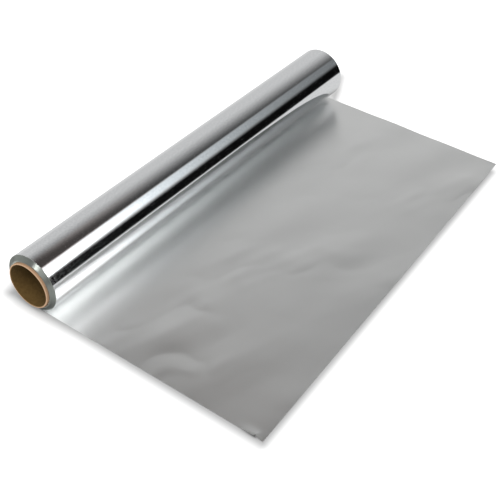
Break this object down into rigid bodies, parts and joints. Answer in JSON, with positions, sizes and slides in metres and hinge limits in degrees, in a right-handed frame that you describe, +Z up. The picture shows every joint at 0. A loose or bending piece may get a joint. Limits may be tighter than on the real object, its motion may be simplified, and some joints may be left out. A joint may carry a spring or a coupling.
{
  "type": "aluminium foil roll",
  "caption": "Kitchen aluminium foil wound on an open paperboard tube, with a sheet of the web pulled out flat from under the roll.",
  "frame": {"origin": "on the table, under the middle of the whole thing: half way along the roll and half way from the back of the roll to the cut end of the sheet", "axes": "+X along the roll, from the end where the turns and the tube stick out to the other end; the sheet lies towards -Y; +Z up"},
  "size_m": [0.3036, 0.1796, 0.037],
  "materials": {
    "foil": "polished",
    "paperboard": "matte"
  },
  "bodies": {
    "root": {"core_tube": "paperboard", "foil_web": "foil"}
  },
  "joints": []
}
